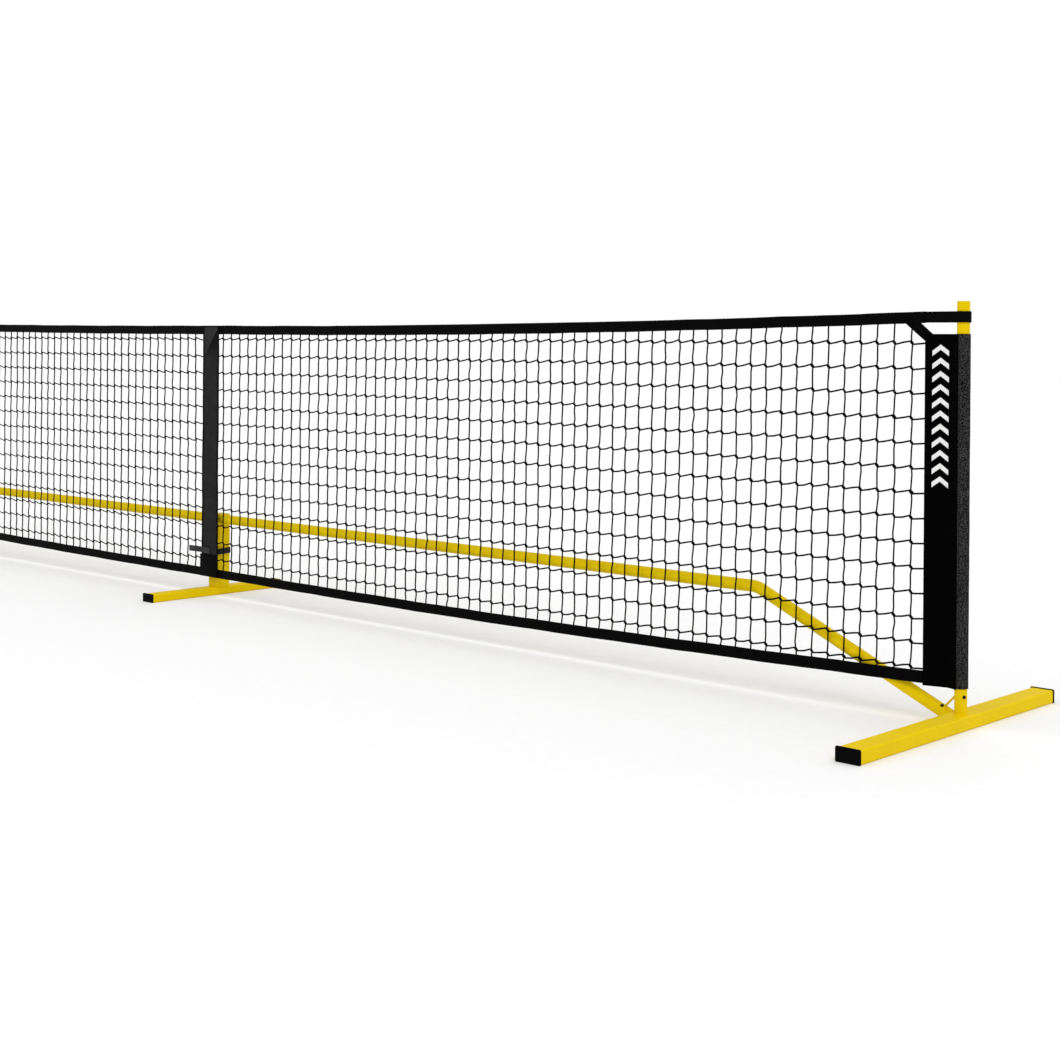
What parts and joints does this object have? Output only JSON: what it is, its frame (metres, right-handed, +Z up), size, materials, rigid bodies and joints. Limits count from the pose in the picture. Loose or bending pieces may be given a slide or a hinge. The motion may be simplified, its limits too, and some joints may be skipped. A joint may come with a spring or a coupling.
{
  "type": "portable pickleball net",
  "caption": "Free-standing court net: mesh between two posts on flat T feet, tied to a centre stand and braced by a bent cross bar.",
  "frame": {"origin": "on the floor, under the middle of the net and midway between the ends of the feet", "axes": "+X along the net to the right-hand post, +Y from the front face towards the cross bar, +Z up"},
  "size_m": [5.5454, 0.843, 0.936],
  "materials": {
    "yellow_powder_coat": "semi-gloss powder coat",
    "black_plastic": "moulded polyethylene",
    "snap_button": "black coated pin",
    "spring_steel": "bright strip",
    "net_cord": "knotted twisted cord",
    "hem_cord": "braided cord",
    "net_binding": "coated binding tape with stitched edges",
    "sleeve_fabric": "coated oxford cloth",
    "webbing": "woven webbing",
    "centre_webbing": "woven webbing"
  },
  "bodies": {
    "frame": {"bar_button_springs_left": "spring_steel", "bar_button_springs_right": "spring_steel", "brace_button_spring_left": "spring_steel", "brace_button_spring_right": "spring_steel", "brace_left": "yellow_powder_coat", "brace_right": "yellow_powder_coat", "brace_socket_left": "yellow_powder_coat", "brace_socket_right": "yellow_powder_coat", "centre_foot": "yellow_powder_coat", "centre_foot_cap_front": "black_plastic", "centre_foot_cap_rear": "black_plastic", "centre_post": "yellow_powder_coat", "centre_post_cap": "yellow_powder_coat", "end_foot_cap_front_left": "black_plastic", "end_foot_cap_front_right": "black_plastic", "end_foot_cap_rear_left": "black_plastic", "end_foot_cap_rear_right": "black_plastic", "end_foot_left": "yellow_powder_coat", "end_foot_right": "yellow_powder_coat", "gusset_rod_left": "yellow_powder_coat", "gusset_rod_right": "yellow_powder_coat", "hub_spigot": "yellow_powder_coat", "inner_bar_left": "yellow_powder_coat", "inner_bar_right": "yellow_powder_coat", "outer_bar_left": "yellow_powder_coat", "outer_bar_right": "yellow_powder_coat", "post_button_spring_left": "spring_steel", "post_button_spring_right": "spring_steel", "post_left": "yellow_powder_coat", "post_plug_left": "black_plastic", "post_plug_right": "black_plastic", "post_right": "yellow_powder_coat", "post_socket_left": "yellow_powder_coat", "post_socket_right": "yellow_powder_coat"},
    "net": {"bottom_tape": "net_binding", "centre_strap": "centre_webbing", "corner_web_left": "net_binding", "corner_web_right": "net_binding", "net_mesh_left": "net_cord", "net_mesh_right": "net_cord", "sleeve_left": "sleeve_fabric", "sleeve_right": "sleeve_fabric", "tie_strap": "webbing", "top_cord": "hem_cord", "top_strap_left": "webbing", "top_strap_right": "webbing", "top_tape": "net_binding"},
    "bend_button_left": {"bend_button_left": "snap_button"},
    "bend_button_right": {"bend_button_right": "snap_button"},
    "brace_button_left": {"brace_button_left": "snap_button"},
    "brace_button_right": {"brace_button_right": "snap_button"},
    "hub_button_left": {"hub_button_left": "snap_button"},
    "hub_button_right": {"hub_button_right": "snap_button"},
    "mid_button_left": {"mid_button_left": "snap_button"},
    "mid_button_right": {"mid_button_right": "snap_button"},
    "post_button_left": {"post_button_left": "snap_button"},
    "post_button_right": {"post_button_right": "snap_button"}
  },
  "joints": [
    {"name": "net_lift", "type": "slide", "parent": "frame", "child": "net", "axis": [0, 0, 1], "range_m": [0, 0.87], "deforming": ["tie_strap"]},
    {"name": "bend_left_press", "type": "slide", "parent": "frame", "child": "bend_button_left", "axis": [0, -1, 0], "range_m": [0, 0.0038], "stiffness_N_per_m": 3000, "springref_m": -0.001},
    {"name": "bend_right_press", "type": "slide", "parent": "frame", "child": "bend_button_right", "axis": [0, -1, 0], "range_m": [0, 0.0038], "stiffness_N_per_m": 3000, "springref_m": -0.001},
    {"name": "brace_left_press", "type": "slide", "parent": "frame", "child": "brace_button_left", "axis": [0.3467, 0.475, -0.8088], "range_m": [0, 0.0038], "stiffness_N_per_m": 3000, "springref_m": -0.001},
    {"name": "brace_right_press", "type": "slide", "parent": "frame", "child": "brace_button_right", "axis": [-0.3467, 0.475, -0.8088], "range_m": [0, 0.0038], "stiffness_N_per_m": 3000, "springref_m": -0.001},
    {"name": "hub_left_press", "type": "slide", "parent": "frame", "child": "hub_button_left", "axis": [0, -1, 0], "range_m": [0, 0.0038], "stiffness_N_per_m": 3000, "springref_m": -0.001},
    {"name": "hub_right_press", "type": "slide", "parent": "frame", "child": "hub_button_right", "axis": [0, -1, 0], "range_m": [0, 0.0038], "stiffness_N_per_m": 3000, "springref_m": -0.001},
    {"name": "mid_left_press", "type": "slide", "parent": "frame", "child": "mid_button_left", "axis": [0, -1, 0], "range_m": [0, 0.0038], "stiffness_N_per_m": 3000, "springref_m": -0.001},
    {"name": "mid_right_press", "type": "slide", "parent": "frame", "child": "mid_button_right", "axis": [0, -1, 0], "range_m": [0, 0.0038], "stiffness_N_per_m": 3000, "springref_m": -0.001},
    {"name": "post_left_press", "type": "slide", "parent": "frame", "child": "post_button_left", "axis": [0.866, 0.5, 0], "range_m": [0, 0.0045], "stiffness_N_per_m": 3000, "springref_m": -0.001},
    {"name": "post_right_press", "type": "slide", "parent": "frame", "child": "post_button_right", "axis": [-0.866, 0.5, 0], "range_m": [0, 0.0045], "stiffness_N_per_m": 3000, "springref_m": -0.001}
  ]
}
